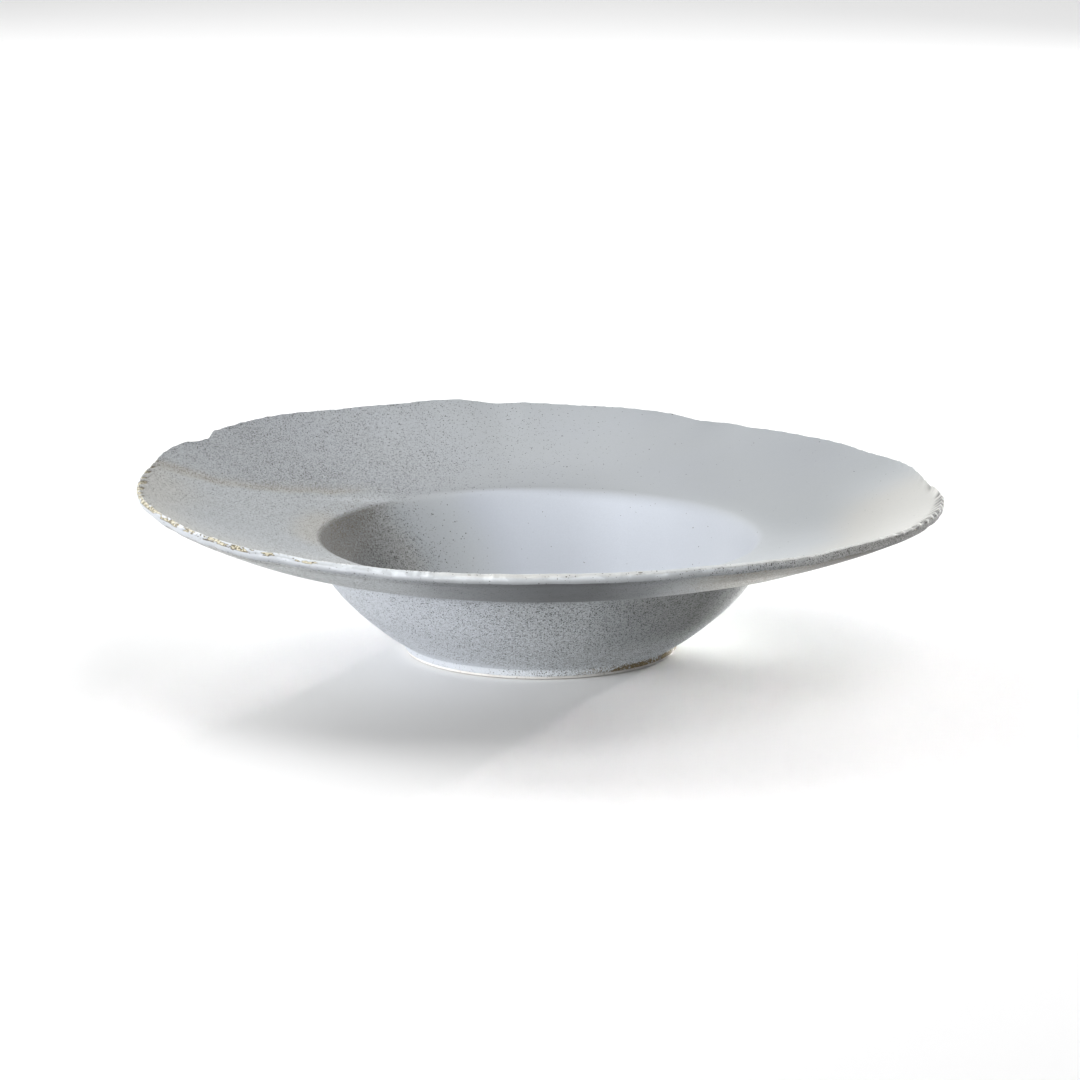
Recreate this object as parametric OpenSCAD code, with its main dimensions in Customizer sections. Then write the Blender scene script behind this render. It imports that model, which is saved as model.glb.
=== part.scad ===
// Pasta plate: a wide-rimmed stoneware plate with a deep well, a torn lip and a turned foot ring.
// Millimetres, +Z up. The origin is on the table, at the centre of the foot ring.
// Seen from above, azimuth 0 is +X and azimuth 90 is +Y. The front of the plate faces -Y.

/* [Rim] */
// Mean diameter across the lip
rim_d = 290; // [278:1:302]
// Mean height of the lip's upper corner above the table
rim_h = 60; // [57:0.5:63]
// Height of the torn face of the lip
lip_t = 4; // [3.4:0.1:4.6]
// How strongly the hand-torn edge wanders, 0 for a true circle
edge_wander = 1; // [0:0.1:1.2]

/* [Well] */
// Diameter at the soft break between well and rim
well_d = 160; // [154:1:166]
// Height of that break above the table
well_z = 42; // [40.5:0.5:43.5]
// Height of the eating surface at the centre
floor_z = 9; // [8.5:0.1:10]

/* [Foot] */
// Outside diameter of the glazed foot
foot_d = 98.5; // [95:0.5:101]
// Height of the foot ring
foot_h = 3.9; // [3.6:0.1:4.3]
// Width of the foot ring where it meets the floor
foot_w = 8; // [7:0.5:9]

/* [Glaze] */
// Thickness of the fired glaze
glaze_t = 0.4; // [0.3:0.05:0.5]
// Height of the bare clay band left at the bottom of the foot
bare_h = 1.2; // [1:0.1:1.5]

/* [Hidden] */
$fn = 128;

// Facets round the plate, and the factor that puts flat facets outside a true circle
seg = 96;
circum = 1 / cos(180 / seg);

rim_r = rim_d / 2;
well_r = well_d / 2;
foot_r = foot_d / 2;
under_z = well_z - 7.5;

// Stations of the finished skin, as shares of a zone's width and height.
// Inside of the well, from the centre to just below the break
WELL = [[0, 0], [0.30, 0], [0.50, 0.015], [0.65, 0.075], [0.76, 0.26], [0.845, 0.48], [0.91, 0.71], [0.95, 0.87], [0.98, 0.96]];
// Upper side of the rim, from the break to the lip's upper corner
RIM = [[0.015, 0], [0.07, 0.055], [0.20, 0.135], [0.40, 0.29], [0.60, 0.49], [0.80, 0.735], [0.93, 0.91], [0.985, 1]];
// Underside of the rim, from the lip's lower corner to the bowl
UNDER = [[0.99, 1], [0.925, 0.905], [0.785, 0.715], [0.60, 0.50], [0.415, 0.33], [0.28, 0.23], [0.17, 0.165], [0.09, 0.12], [0.04, 0.07]];
// Outside of the bowl, from the rim down to the crease over the foot
BOWL = [[1.015, 0.995], [0.975, 0.92], [0.91, 0.81], [0.735, 0.58], [0.50, 0.35], [0.215, 0.12], [0.08, 0.03], [0.025, 0]];

// Wander of the lip every 15 degrees, as [outwards, upwards]: the left and back stand higher than the right
WANDER = [
    [-0.5, -3.4], [0, -3.2], [0.5, -3.4], [-0.5, -2.9], [-0.5, -2.5], [0, 0.3],
    [0, 1.6], [1, 3.8], [0, 3.6], [1.6, 4.5], [0.8, 4], [1, 2.8],
    [-0.3, 1], [-0.4, 1.8], [-0.5, 1.1], [0.5, 0.3], [-0.5, -0.2], [0.5, -0.1],
    [0, 0.2], [-0.5, 0.1], [0.5, 0.1], [-0.5, -0.3], [0, -1], [-0.4, -1.7]
];
// Bites torn out of the lip, as [azimuth, half width in degrees, outwards, upwards]
BITES = [
    [151.5, 5, -4.2, -0.6], [65, 5, -2, -0.3], [168, 7.5, -1.6, 0], [112, 5, -1.5, 0], [97, 5, 0, -1],
    [31, 7, -1.8, 0], [10, 10.5, -2.4, 0], [232, 5, -1.5, 0], [293, 6, -1.5, 0], [309, 8, 0, -0.6]
];

// Smooth curve through four neighbours
function blend4(a, b, c, d, t) =
    0.5 * (2 * b + (c - a) * t + (2 * a - 5 * b + 4 * c - d) * t * t + (3 * b - a - 3 * c + d) * t * t * t);
function turn_gap(a, b) = abs((a - b + 540) % 360 - 180);
function bite(a, k) = let (s = [for (b = BITES) let (d = turn_gap(a, b[0]) / b[1]) d < 1 ? b[2 + k] * pow(1 - d * d, 2) : 0]) s * [for (b = BITES) 1];
function wander(a, k) =
    let (n = len(WANDER), u = a / 360 * n, i = floor(u))
    edge_wander * (blend4(WANDER[(i + n - 1) % n][k], WANDER[i % n][k], WANDER[(i + 1) % n][k], WANDER[(i + 2) % n][k], u - i) + bite(a, k));

// The wander at each facet, worked out once
OUT = [for (j = [0:seg - 1]) wander(360 * j / seg, 0)];
UP = [for (j = [0:seg - 1]) wander(360 * j / seg, 1)];

// A profile point [r, z] turned to facet j: the wander grows from the well's break to the lip
function place(p, j) =
    let (t = max(0, (p[0] - well_r) / (rim_r - well_r)), r = (p[0] + OUT[j] * pow(t, 3)) * circum, a = 360 * j / seg)
    [r * cos(a), r * sin(a), p[1] + UP[j] * pow(t, 1.6)];

// The finished skin as one path: centre of the well, lip, underside, crease, foot wall
skin_top = concat(
    [for (s = WELL) [s[0] * well_r, floor_z + s[1] * (well_z - floor_z)]],
    [for (s = RIM) [well_r + s[0] * (rim_r - well_r), well_z + s[1] * (rim_h - well_z)]]);
skin_lip = [[rim_r - 0.15, rim_h - 0.2 * lip_t], [rim_r, rim_h - 0.55 * lip_t], [rim_r - 0.2, rim_h - 0.85 * lip_t]];
skin_under = concat(
    [for (s = UNDER) [well_r + s[0] * (rim_r - well_r), under_z + s[1] * (rim_h - lip_t - under_z)]],
    [for (s = BOWL) [foot_r + s[0] * (well_r - foot_r), foot_h + s[1] * (under_z - foot_h)]]);
skin = concat(skin_top, skin_lip, skin_under);
n_top = len(skin_top);
n_lip = len(skin_lip);
n_skin = len(skin);

// The same path on the clay, one glaze thickness inside; the coat is thinner over the lip
function unit(v) = v / norm(v);
function coat(i) = i >= n_top && i < n_top + n_lip ? 0.6 * glaze_t : glaze_t;
function along(i) = unit(skin[min(i + 1, n_skin - 1)] - skin[max(i - 1, 0)]);
clay = [for (i = [0:n_skin - 1]) let (d = along(i)) i == 0 ? [0, skin[0][1] - glaze_t] : skin[i] - coat(i) * [-d[1], d[0]]];

// Foot: the clay wall's radius at height z, on the outside and on the inside
foot_top_r = foot_r + 0.1 - glaze_t;
foot_low_r = foot_r - 0.75;
function foot_out(z) = foot_low_r + (foot_top_r - foot_low_r) * (z - 0.5) / (foot_h - 0.5);
foot_in_r = foot_r - foot_w;
function foot_in(z) = foot_in_r + 0.8 * (foot_h - z) / (foot_h - 0.6);

function part_of(path, a, b) = [for (i = [a:b]) path[i]];
function reversed(path) = [for (i = [len(path) - 1:-1:0]) path[i]];

// A quad between stations i and k at facet j, as two triangles. Skins laid on clay share its diagonals.
function quad(i, k, j, flip) =
    let (l = (j + 1) % seg, a = i * seg + j, b = i * seg + l, c = k * seg + l, d = k * seg + j)
    flip ? [[a, b, d], [b, c, d]] : [[a, b, c], [a, c, d]];

// A closed solid from a path that starts and ends on the axis. Stations from `turn` on run backwards.
module turned_solid(path, turn) {
    m = len(path) - 2;
    pts = concat(
        [for (i = [1:m]) for (j = [0:seg - 1]) place(path[i], j)],
        [[0, 0, path[0][1]], [0, 0, path[m + 1][1]]]);
    faces = concat(
        [for (j = [0:seg - 1]) [m * seg, (j + 1) % seg, j]],
        [for (i = [0:m - 2]) for (j = [0:seg - 1]) each quad(i, i + 1, j, i + 1 >= turn)],
        [for (j = [0:seg - 1]) [m * seg + 1, (m - 1) * seg + j, (m - 1) * seg + (j + 1) % seg]]);
    polyhedron(points = pts, faces = faces, convexity = 8);
}

// A closed ring-shaped solid from a closed path. Stations from `turn` on run backwards.
module turned_ring(path, turn) {
    m = len(path);
    pts = [for (i = [0:m - 1]) for (j = [0:seg - 1]) place(path[i], j)];
    faces = [for (i = [0:m - 1]) for (j = [0:seg - 1]) each quad(i, (i + 1) % m, j, i >= turn)];
    polyhedron(points = pts, faces = faces, convexity = 8);
}

// Stoneware biscuit: floor and wall of the well, rim and torn lip, flat underneath where the foot ring is joined
module clay_body() color([0.62, 0.58, 0.52])
    turned_solid(concat(part_of(clay, 0, n_skin - 1), [[foot_top_r, foot_h], [foot_in_r, foot_h], [0, foot_h]]), 1000);

// Ring of clay the plate stands on, with a flat bare standing face
module foot_ring() color([0.80, 0.77, 0.72])
    rotate_extrude()
        polygon([
            [foot_in_r, foot_h], [foot_in(0.6), 0.6], [foot_in(0.6) + 0.8, 0],
            [foot_low_r - 0.6, 0], [foot_low_r, 0.5], [foot_top_r, foot_h]]);

// Coat on the eating side, from the centre of the well to the lip's upper corner
module upper_glaze() color([0.72, 0.74, 0.75])
    turned_solid(concat(part_of(skin, 0, n_top - 1), reversed(part_of(clay, 0, n_top - 1))), n_top);

// Thin coat over the torn face of the lip
module edge_glaze() color([0.78, 0.78, 0.76])
    turned_ring(concat(part_of(skin, n_top - 1, n_top + n_lip), reversed(part_of(clay, n_top - 1, n_top + n_lip))), n_lip + 2);

// Coat on the underside of the rim, the outside of the bowl and the foot's outer wall
module lower_glaze() color([0.60, 0.62, 0.64])
    turned_ring(concat(
        part_of(skin, n_top + n_lip, n_skin - 1),
        [[foot_r + 0.1, foot_h], [foot_out(bare_h) + 0.85 * glaze_t, bare_h], [foot_out(bare_h), bare_h], [foot_top_r, foot_h]],
        reversed(part_of(clay, n_top + n_lip, n_skin - 1))), len(skin_under) + 3);

// Coat on the sunk disc inside the foot ring, with a cove down the ring's inner wall
module base_glaze() color([0.66, 0.68, 0.69])
    rotate_extrude()
        polygon([
            [0, foot_h], [0, foot_h - glaze_t], [foot_in_r - 1.2, foot_h - glaze_t],
            [foot_in(bare_h + 0.4) - 0.5 * glaze_t, bare_h + 0.4], [foot_in(bare_h + 0.4), bare_h + 0.4], [foot_in_r, foot_h]]);

clay_body();
foot_ring();
upper_glaze();
edge_glaze();
lower_glaze();
base_glaze();
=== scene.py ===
"""Looks of the pasta plate: satin grey speckled glaze on stoneware, a torn lip and a turned foot.

Shapes are worked out in millimetres with the same rules as the CAD part, then set in metres.
Azimuth 0 is +X, 90 is +Y. The camera looks along +Y.
"""
import math

import bpy
import numpy as np
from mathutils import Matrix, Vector


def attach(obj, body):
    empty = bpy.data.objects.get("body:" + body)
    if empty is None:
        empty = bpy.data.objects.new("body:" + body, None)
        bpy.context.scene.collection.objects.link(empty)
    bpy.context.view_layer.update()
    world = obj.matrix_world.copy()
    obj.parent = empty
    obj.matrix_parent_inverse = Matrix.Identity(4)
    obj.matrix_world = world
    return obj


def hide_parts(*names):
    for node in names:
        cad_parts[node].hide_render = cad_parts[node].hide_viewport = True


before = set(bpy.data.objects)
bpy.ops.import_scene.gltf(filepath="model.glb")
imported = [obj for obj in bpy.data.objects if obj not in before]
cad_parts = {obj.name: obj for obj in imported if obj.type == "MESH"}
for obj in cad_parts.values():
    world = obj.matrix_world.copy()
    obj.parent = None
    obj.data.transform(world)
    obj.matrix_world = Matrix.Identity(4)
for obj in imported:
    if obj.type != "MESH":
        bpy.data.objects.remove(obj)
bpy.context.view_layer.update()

# ------------------------------------------------------------------ shape rules shared with the CAD part
RIM_R, RIM_H, LIP_T = 145.0, 60.0, 4.0
WELL_R, WELL_Z, FLOOR_Z = 80.0, 42.0, 9.0
FOOT_R, FOOT_H, FOOT_W = 49.25, 3.9, 8.0
GLAZE, BARE_H = 0.4, 1.2
UNDER_Z = WELL_Z - 7.5
WELL = [[0, 0], [0.30, 0], [0.50, 0.015], [0.65, 0.075], [0.76, 0.26], [0.845, 0.48], [0.91, 0.71], [0.95, 0.87], [0.98, 0.96]]
RIM = [[0.015, 0], [0.07, 0.055], [0.20, 0.135], [0.40, 0.29], [0.60, 0.49], [0.80, 0.735], [0.93, 0.91], [0.985, 1]]
UNDER = [[0.99, 1], [0.925, 0.905], [0.785, 0.715], [0.60, 0.50], [0.415, 0.33], [0.28, 0.23], [0.17, 0.165], [0.09, 0.12], [0.04, 0.07]]
BOWL = [[1.015, 0.995], [0.975, 0.92], [0.91, 0.81], [0.735, 0.58], [0.50, 0.35], [0.215, 0.12], [0.08, 0.03], [0.025, 0]]
WANDER = np.array([
    [-0.5, -3.4], [0, -3.2], [0.5, -3.4], [-0.5, -2.9], [-0.5, -2.5], [0, 0.3],
    [0, 1.6], [1, 3.8], [0, 3.6], [1.6, 4.5], [0.8, 4], [1, 2.8],
    [-0.3, 1], [-0.4, 1.8], [-0.5, 1.1], [0.5, 0.3], [-0.5, -0.2], [0.5, -0.1],
    [0, 0.2], [-0.5, 0.1], [0.5, 0.1], [-0.5, -0.3], [0, -1], [-0.4, -1.7]], float)
BITES = [
    [151.5, 5, -4.2, -0.6], [65, 5, -2, -0.3], [168, 7.5, -1.6, 0], [112, 5, -1.5, 0], [97, 5, 0, -1],
    [31, 7, -1.8, 0], [10, 10.5, -2.4, 0], [232, 5, -1.5, 0], [293, 6, -1.5, 0], [309, 8, 0, -0.6]]
# Smaller nibbles along the edge, too fine for the solids: azimuth, half width in degrees, depth
NIBBLES = [
    [74, 1.4, 0.4], [56, 2.6, 0.6], [46, 1.8, 0.5], [20, 1.8, 0.3],
    [326, 2.0, 0.3], [308, 2.6, 0.4], [277, 2.4, 0.3], [262, 1.8, 0.3], [247, 2.4, 0.4],
    [219, 2.0, 0.4], [206, 2.6, 0.4], [143, 2.2, 0.5], [131, 2.4, 0.4], [122, 1.8, 0.5], [105, 1.6, 0.4]]


def value_noise(x, y, z=0.0, seed=0):
    """Smooth noise from -1 to 1 on a lattice of step 1."""
    x, y, z = np.broadcast_arrays(np.asarray(x, float), np.asarray(y, float), np.asarray(z, float))
    i, j, k = (np.floor(v).astype(np.int64) for v in (x, y, z))
    f, g, h = x - i, y - j, z - k
    f, g, h = (v * v * v * (v * (v * 6 - 15) + 10) for v in (f, g, h))

    def at(a, b, c):
        n = (a * 73856093) ^ (b * 19349663) ^ (c * 83492791) ^ (seed * 2654435761)
        n = (n ^ (n >> 13)) * 1274126177 & 0xFFFFFFFF
        n = ((n ^ (n >> 16)) * 2246822519) & 0xFFFFFFFF
        return ((n ^ (n >> 15)) & 0xFFFFFF) / 8388607.5 - 1.0

    def mix(a, b, t):
        return a + (b - a) * t
    low = mix(mix(at(i, j, k), at(i + 1, j, k), f), mix(at(i, j + 1, k), at(i + 1, j + 1, k), f), g)
    high = mix(mix(at(i, j, k + 1), at(i + 1, j, k + 1), f), mix(at(i, j + 1, k + 1), at(i + 1, j + 1, k + 1), f), g)
    return mix(low, high, h)


def octaves(x, y, z, seed, n=3, gain=0.5):
    total, amp, norm = 0.0, 1.0, 0.0
    for o in range(n):
        s = 2.0 ** o
        total = total + amp * value_noise(np.asarray(x) * s, np.asarray(y) * s, np.asarray(z) * s, seed + o)
        norm += amp
        amp *= gain
    return total / norm


def ease(lo, hi, v):
    t = np.clip((np.asarray(v, float) - lo) / (hi - lo), 0, 1)
    return t * t * (3 - 2 * t)


def gap(a, b):
    return np.abs((np.asarray(a) - b + 540) % 360 - 180)


def blend4(a, b, c, d, t):
    return 0.5 * (2 * b + (c - a) * t + (2 * a - 5 * b + 4 * c - d) * t * t + (3 * b - a - 3 * c + d) * t ** 3)


def wander(a, k):
    n = len(WANDER)
    u = a / 360 * n
    i = np.floor(u).astype(int)
    v = blend4(WANDER[(i - 1) % n, k], WANDER[i % n, k], WANDER[(i + 1) % n, k], WANDER[(i + 2) % n, k], u - i)
    for b in BITES:
        d = gap(a, b[0]) / b[1]
        v = v + np.where(d < 1, b[2 + k] * (1 - d * d) ** 2, 0)
    return v


# Chips along the lip's corners, one after another round the edge: azimuth, length in degrees, depth, lean
def chip_row(seed, lengths, depths, none_share):
    rng = np.random.RandomState(seed)
    at, row = 0.0, []
    while at < 360:
        step = math.degrees(rng.uniform(*lengths) / RIM_R)
        depth = rng.uniform(*depths) * (0.0 if rng.rand() < none_share else 1.0)
        row.append([at, step, depth, rng.uniform(0.65, 1.5)])
        at += step
    scale = 360.0 / at
    return np.array([[a * scale, s * scale, d, k] for a, s, d, k in row])


COMB = chip_row(11, (5.5, 10.0), (0.80, 1.20), 0.03)
SLANT = 2.4
NICKS = chip_row(23, (2.0, 9.0), (0.10, 0.50), 0.45)
FINE = chip_row(29, (0.9, 2.4), (0.03, 0.13), 0.25)
LOWER = chip_row(37, (4.0, 12.0), (0.05, 0.35), 0.45)
# How strong each kind is round the plate, as azimuth and share: both ends are pressed into slanting ridges, the front left is torn
COMB_SHARE = [[0, 0.9], [4, 0.6], [8, 0.30], [14, 0.22], [20, 0.20], [27, 0.14], [60, 0.10], [120, 0.10], [150, 0.25], [165, 0.45], [178, 0.8], [188, 0.6], [202, 0.2], [240, 0.06], [300, 0.06], [320, 0.2], [332, 0.7], [342, 1.0], [352, 1.0]]
NICK_SHARE = [[0, 0.25], [40, 0.4], [95, 0.4], [150, 0.4], [175, 0.3], [190, 0.5], [205, 0.8], [230, 1.0], [262, 0.9], [285, 0.55], [330, 0.3]]
BEVEL = [[0, 0.12], [20, 0.15], [40, 0.22], [90, 0.20], [140, 0.22], [160, 0.14], [184, 0.12], [200, 0.25], [225, 0.55], [270, 0.70], [300, 0.52], [325, 0.22], [340, 0.12]]
LOW_CUT = [[0, 0.15], [60, 0.45], [150, 0.45], [190, 0.40], [225, 0.40], [270, 0.28], [295, 0.10], [340, 0.08]]
PIT_SHARE = [[0, 0.05], [60, 0.10], [100, 0.20], [140, 0.35], [150, 0.75], [160, 0.45], [172, 0.50], [184, 0.85], [200, 1.0], [220, 0.95], [230, 0.62], [238, 0.30], [252, 0.16], [275, 0.12], [320, 0.05]]


def round_about(a, knots):
    az, v = np.array(knots, float).T
    return np.interp(a, az, v, period=360)


def chip_at(row, a):
    """Depth of the chips at azimuths a: a scoop in each cell, with a ridge between neighbours."""
    i = np.clip(np.searchsorted(row[:, 0], a, side="right") - 1, 0, len(row) - 1)
    s = np.clip((a - row[i, 0]) / row[i, 1], 0, 1) ** row[i, 3]
    return row[i, 2] * (1 - np.abs(2 * s - 1) ** 2.0)


def pits(a, w):
    """Places where the glaze pulled back from the torn face. w runs from 0 at the lip's upper corner to 1 at its lower one."""
    c, s = np.cos(np.radians(a)), np.sin(np.radians(a))
    p = octaves(c * 30, s * 30, np.asarray(w) * 3.0, 141, 3, 0.66) * 1.55 + 0.35 * octaves(c * 95, s * 95, np.asarray(w) * 9.0, 142, 2, 0.6)
    g = p - (1 - round_about(a, PIT_SHARE)) * 1.15 + 0.26
    return ease(-0.12, 0.55, g) * ease(0.0, 0.08, w) * ease(0.50, 0.30, w)


def comb(a, inward):
    """Slanting ridges pressed into the lip: the scoop between two of them, at a distance inward from the upper corner."""
    return chip_at(COMB, (a + np.degrees(SLANT * inward / RIM_R)) % 360) * round_about(a, COMB_SHARE)


def fine_out(a):
    arc = np.radians(a) * RIM_R
    ring = [np.cos(np.radians(a)), np.sin(np.radians(a))]
    v = 0.28 * octaves(ring[0] * 9, ring[1] * 9, 0, 5, 3, 0.6) - 0.15
    for az, half, depth in NIBBLES:
        d = gap(a, az) / half
        v = v - np.where(d < 1, depth * (1 - d * d) ** 1.5, 0)
    return v


def fine_up(a):
    c, s = np.cos(np.radians(a)), np.sin(np.radians(a))
    return 0.22 * octaves(c * 12, s * 12, 3.3, 8, 3, 0.6) - 0.08


class Turn:
    """Everything that depends on azimuth only, for a ring of n points."""
    kept = {}

    def __new__(cls, n):
        if n not in cls.kept:
            me = super().__new__(cls)
            a = np.arange(n) * 360.0 / n
            me.a, me.c, me.s = a, np.cos(np.radians(a)), np.sin(np.radians(a))
            me.out, me.up = wander(a, 0), wander(a, 1)
            me.fout, me.fup = fine_out(a), fine_up(a)
            me.chip = round_about(a, BEVEL) + round_about(a, NICK_SHARE) * chip_at(NICKS, a) + chip_at(FINE, a)
            me.soft = 0.15 + 0.45 * round_about(a, BEVEL)
            me.slope = np.radians(46 + 9 * octaves(me.c * 14, me.s * 14, 0.4, 9, 2))
            me.low = chip_at(LOWER, a) + round_about(a, LOW_CUT)
            cls.kept[n] = me
        return cls.kept[n]


RIM_TOP_R = WELL_R + RIM[-1][0] * (RIM_R - WELL_R)
CORNER = (RIM_R - 0.45, RIM_H - 0.25)
LOW_CORNER = (RIM_R - 0.35, RIM_H - LIP_T + 0.15)


def carry(t, r0, z0):
    """A profile point carried round the plate with the lip's wander."""
    k = max(0.0, (r0 - WELL_R) / (RIM_R - WELL_R))
    return r0 + t.out * k ** 3 + t.fout * k ** 9, z0 + t.up * k ** 1.6 + t.fup * k ** 7


def soft_over(e, w):
    return 0.5 * (e + np.sqrt(e * e + w * w))


def shape(r0, z0, n, inset=0.0, across=None, rim=False):
    """One ring of the plate at profile point (r0, z0), n points round, in millimetres. Also the distance past the chip face.
    across is the place on the lip's face, from 0 at its upper corner to 1 at its lower one. rim is true on the eating side."""
    t = Turn(n)
    r, z = carry(t, r0, z0)
    over, scoop = np.full(n, -9.0), np.zeros(n)
    if r0 > RIM_R - 9:
        rc, zc = carry(t, *CORNER)
        cr, cz = np.cos(t.slope), np.sin(t.slope)
        over = (r - rc) * cr + (z - zc) * cz + t.chip + inset
        cut = soft_over(over, t.soft) - soft_over(-6.0, t.soft)
        # a chip's face is a little hollow
        hollow = 0.10 * t.chip * np.clip(over / (t.chip + 0.3), 0, 1) ** 2
        r, z = r - cr * (cut + hollow), z - cz * (cut + hollow)
        rl, zl = carry(t, *LOW_CORNER)
        past = (r - rl) * 0.77 - (z - zl) * 0.64 + t.low + inset
        cut = soft_over(past, 0.45) - soft_over(-6.0, 0.45)
        r, z = r - 0.77 * cut, z + 0.64 * cut
        # the ridges fade inwards on the rim and downwards on the lip's face
        if rim:
            inward = max(0.0, RIM_TOP_R - r0)
            scoop = comb(t.a, inward)
            r, z, scoop = r - 0.35 * scoop * ease(1.4, 0.0, inward), z - scoop * ease(4.6, 0.4, inward), scoop * ease(4.6, 0.4, inward)
        elif across is not None:
            scoop = comb(t.a, 0.0)
            r, z, scoop = r - 0.35 * scoop * ease(0.60, 0.0, across), z - scoop * ease(0.55, 0.0, across), scoop * ease(0.70, 0.1, across)
        if across is not None:
            # torn clay under the glaze of the lip's face, and the pits
            fade = min(1.0, 4 * across, 4 * (1 - across))
            wave = octaves(t.c * 46, t.s * 46, z0 * 0.32, 3, 3, 0.55) * 0.12 + octaves(t.c * 110, t.s * 110, z0 * 0.9, 4, 2, 0.5) * 0.07
            r = r + fade * (wave - 0.08) - 0.22 * pits(t.a, across)
    x, y = r * t.c, r * t.s
    # hand-thrown unevenness of the rim and the wall
    window = ease(50, 84, r0) * (1 - 0.5 * ease(120, 145, r0))
    if r0 > 50:
        z = z + window * (0.16 * value_noise(x / 31, y / 31, 0.5, 61) + 0.07 * value_noise(x / 13, y / 13, 1.5, 62))
    return np.stack([x, y, z], 1), over, scoop


# ------------------------------------------------------------------ smooth profile curves
def through(points, step=0.04):
    """A dense smooth curve through the points."""
    p = np.asarray(points, float)
    p = np.vstack([2 * p[0] - p[1], p, 2 * p[-1] - p[-2]])
    out = []
    for i in range(1, len(p) - 2):
        a, b, c, d = p[i - 1:i + 3]
        t1 = math.sqrt(np.linalg.norm(b - a))
        t2 = t1 + math.sqrt(np.linalg.norm(c - b))
        t3 = t2 + math.sqrt(np.linalg.norm(d - c))
        t = np.linspace(t1, t2, max(3, int(np.linalg.norm(c - b) / step)), endpoint=False)[:, None]
        e, f, g = (t1 - t) / t1 * a + t / t1 * b, (t2 - t) / (t2 - t1) * b + (t - t1) / (t2 - t1) * c, (t3 - t) / (t3 - t2) * c + (t - t2) / (t3 - t2) * d
        h, k = (t2 - t) / t2 * e + t / t2 * f, (t3 - t) / (t3 - t1) * f + (t - t1) / (t3 - t1) * g
        out.append((t2 - t) / (t2 - t1) * h + (t - t1) / (t2 - t1) * k)
    out.append(p[-2][None])
    return np.vstack(out)


def lengths(path):
    return np.concatenate([[0], np.cumsum(np.linalg.norm(np.diff(path, axis=0), axis=1))])


def at_length(path, s):
    q = lengths(path)
    return np.stack([np.interp(s, q, path[:, 0]), np.interp(s, q, path[:, 1])], -1)


def inside(path, depth):
    """The path moved to the clay side by depth, a number or one for each point."""
    d = np.gradient(path, axis=0)
    d /= np.linalg.norm(d, axis=1)[:, None]
    return path - np.stack([-d[:, 1], d[:, 0]], 1) * np.reshape(np.broadcast_to(depth, len(path)), (-1, 1))


top_pts = [[u * WELL_R, FLOOR_Z + v * (WELL_Z - FLOOR_Z)] for u, v in WELL] + [[WELL_R + u * (RIM_R - WELL_R), WELL_Z + v * (RIM_H - WELL_Z)] for u, v in RIM]
lip_pts = [[RIM_R - 0.15, RIM_H - 0.2 * LIP_T], [RIM_R, RIM_H - 0.55 * LIP_T], [RIM_R - 0.2, RIM_H - 0.85 * LIP_T]]
under_pts = [[WELL_R + u * (RIM_R - WELL_R), UNDER_Z + v * (RIM_H - LIP_T - UNDER_Z)] for u, v in UNDER] + [[FOOT_R + u * (WELL_R - FOOT_R), FOOT_H + v * (UNDER_Z - FOOT_H)] for u, v in BOWL[:-1]]
under_pts += [[FOOT_R + 1.25, FOOT_H + 0.22], [FOOT_R + 0.45, FOOT_H - 0.20], [FOOT_R + 0.12, FOOT_H - 0.80], [FOOT_R - 0.10, 2.1], [FOOT_R - 0.24, 1.45]]
TOP = through(top_pts)
LIP = through([top_pts[-1]] + lip_pts + [under_pts[0]])
LOW = through(under_pts)

TOP_IN = inside(TOP, GLAZE)
TOP_IN[:, 0] = np.maximum(TOP_IN[:, 0], 0)
LIP_IN = inside(LIP, 0.6 * GLAZE)
LOW_IN = inside(LOW, GLAZE)


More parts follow.
